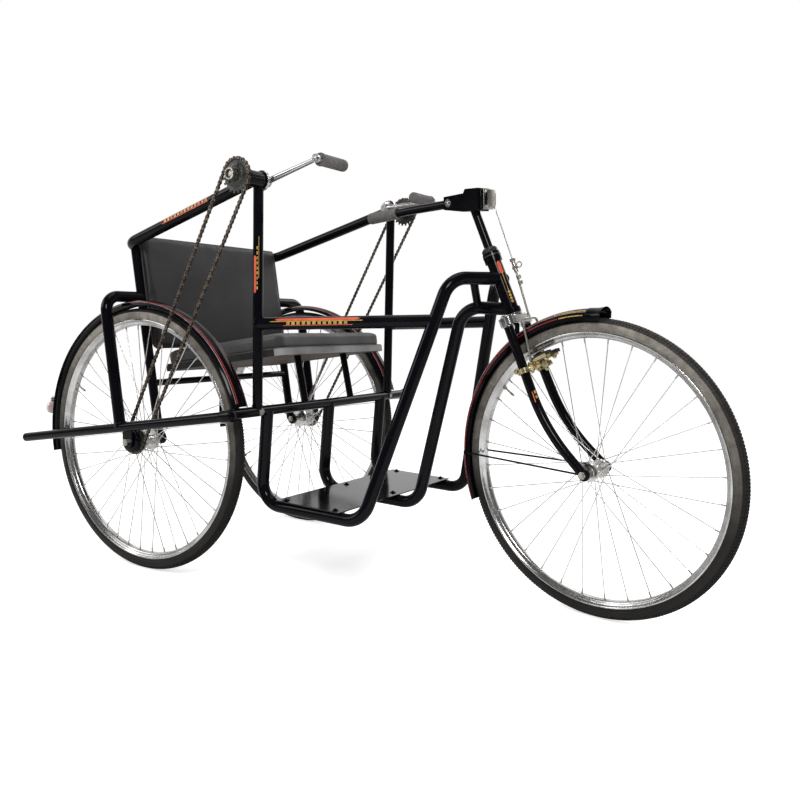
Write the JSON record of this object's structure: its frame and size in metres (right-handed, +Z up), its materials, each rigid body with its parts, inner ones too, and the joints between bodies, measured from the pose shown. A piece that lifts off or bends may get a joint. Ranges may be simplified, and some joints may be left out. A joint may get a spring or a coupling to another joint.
{
  "type": "hand-cranked tricycle",
  "caption": "Hand-propelled invalid tricycle: cushioned seat between two large spoked rear wheels, chain cranks at hand height on both sides, footboard loops and a tiller-steered front wheel.",
  "frame": {"origin": "on the ground, under the middle of the tricycle's bounding box", "axes": "+X forward, +Y to the rider's left, +Z up"},
  "size_m": [1.9302, 0.846, 1.0878],
  "materials": {
    "frame_enamel": "gloss",
    "footboard_enamel": "gloss",
    "tyre_rubber": "matte",
    "rim_chrome": "polished",
    "hub_steel": "satin",
    "plated_steel": "satin",
    "chrome_parts": "polished",
    "grip_rubber": "matte",
    "dark_steel": "oiled",
    "chain_steel": "oiled",
    "pad_rubber": "matte",
    "brass_clips": "satin",
    "seat_vinyl": "matte",
    "back_vinyl": "matte",
    "seat_plywood": "satin"
  },
  "bodies": {
    "frame": {"arm_rail": "frame_enamel", "back_leg_left": "frame_enamel", "back_leg_right": "frame_enamel", "backrest": "back_vinyl", "chain_left": "chain_steel", "chain_right": "chain_steel", "cross_bar": "frame_enamel", "footboard": "footboard_enamel", "head_gusset": "frame_enamel", "head_tube": "frame_enamel", "loop_centre": "frame_enamel", "loop_left": "frame_enamel", "loop_right": "frame_enamel", "outer_leg_left": "frame_enamel", "outer_leg_right": "frame_enamel", "outer_rail_left": "frame_enamel", "outer_rail_right": "frame_enamel", "post_left": "frame_enamel", "post_right": "frame_enamel", "rear_axle_left": "plated_steel", "rear_axle_right": "plated_steel", "rear_mudguard_left": "frame_enamel", "rear_mudguard_right": "frame_enamel", "seat_board": "seat_plywood", "seat_cushion": "seat_vinyl", "seat_rear_bar": "frame_enamel", "seat_strut_left": "frame_enamel", "seat_strut_right": "frame_enamel", "side_rail_left": "frame_enamel", "side_rail_right": "frame_enamel"},
    "steering": {"brake_cable": "plated_steel", "brake_clips": "brass_clips", "brake_pads": "pad_rubber", "brake_stirrup": "plated_steel", "fork": "frame_enamel", "front_axle": "plated_steel", "front_mudguard": "frame_enamel", "stem": "frame_enamel", "stem_clamp": "chrome_parts", "tiller": "frame_enamel", "tiller_grip": "grip_rubber"},
    "crank_drive_left": {"chainwheel_left": "dark_steel", "crank_left": "chrome_parts", "handle_left": "grip_rubber"},
    "crank_drive_right": {"chainwheel_right": "dark_steel", "crank_right": "chrome_parts", "handle_right": "grip_rubber"},
    "freewheel_left": {"cog_left": "dark_steel"},
    "freewheel_right": {"cog_right": "dark_steel"},
    "front_wheel": {"hub_front": "hub_steel", "rim_front": "rim_chrome", "tyre_front": "tyre_rubber"},
    "rear_wheel_left": {"hub_left": "hub_steel", "rim_left": "rim_chrome", "tyre_left": "tyre_rubber"},
    "rear_wheel_right": {"hub_right": "hub_steel", "rim_right": "rim_chrome", "tyre_right": "tyre_rubber"}
  },
  "joints": [
    {"name": "steer", "type": "hinge", "parent": "frame", "child": "steering", "pos_m": [0.54784, 0, 0.3555], "axis": [-0.4067, 0, 0.9135], "range_deg": [-14, 36]},
    {"name": "front_wheel_roll", "type": "hinge", "parent": "steering", "child": "front_wheel", "pos_m": [0.61381, -0.01168, 0.35504], "axis": [0.1743, 0.9816, 0.0776], "continuous": true},
    {"name": "rear_wheel_right_roll", "type": "hinge", "parent": "frame", "child": "rear_wheel_right", "pos_m": [-0.53416, -0.3415, 0.3555], "axis": [0, 1, 0], "continuous": true},
    {"name": "crank_right_turn", "type": "hinge", "parent": "frame", "child": "crank_drive_right", "pos_m": [-0.16816, -0.27, 1.029], "axis": [0, 1, 0], "continuous": true},
    {"name": "freewheel_right_turn", "type": "hinge", "parent": "frame", "child": "freewheel_right", "pos_m": [-0.53416, -0.378, 0.3555], "axis": [0, 1, 0], "continuous": true},
    {"name": "rear_wheel_left_roll", "type": "hinge", "parent": "frame", "child": "rear_wheel_left", "pos_m": [-0.53416, 0.3415, 0.3555], "axis": [0, 1, 0], "continuous": true},
    {"name": "crank_left_turn", "type": "hinge", "parent": "frame", "child": "crank_drive_left", "pos_m": [-0.16816, 0.27, 1.029], "axis": [0, 1, 0], "continuous": true},
    {"name": "freewheel_left_turn", "type": "hinge", "parent": "frame", "child": "freewheel_left", "pos_m": [-0.53416, 0.378, 0.3555], "axis": [0, 1, 0], "continuous": true}
  ],
  "couplings": [
    {"joint": "freewheel_right_turn", "follows": "crank_right_turn", "ratio": 1.25},
    {"joint": "freewheel_left_turn", "follows": "crank_left_turn", "ratio": 1.25}
  ]
}
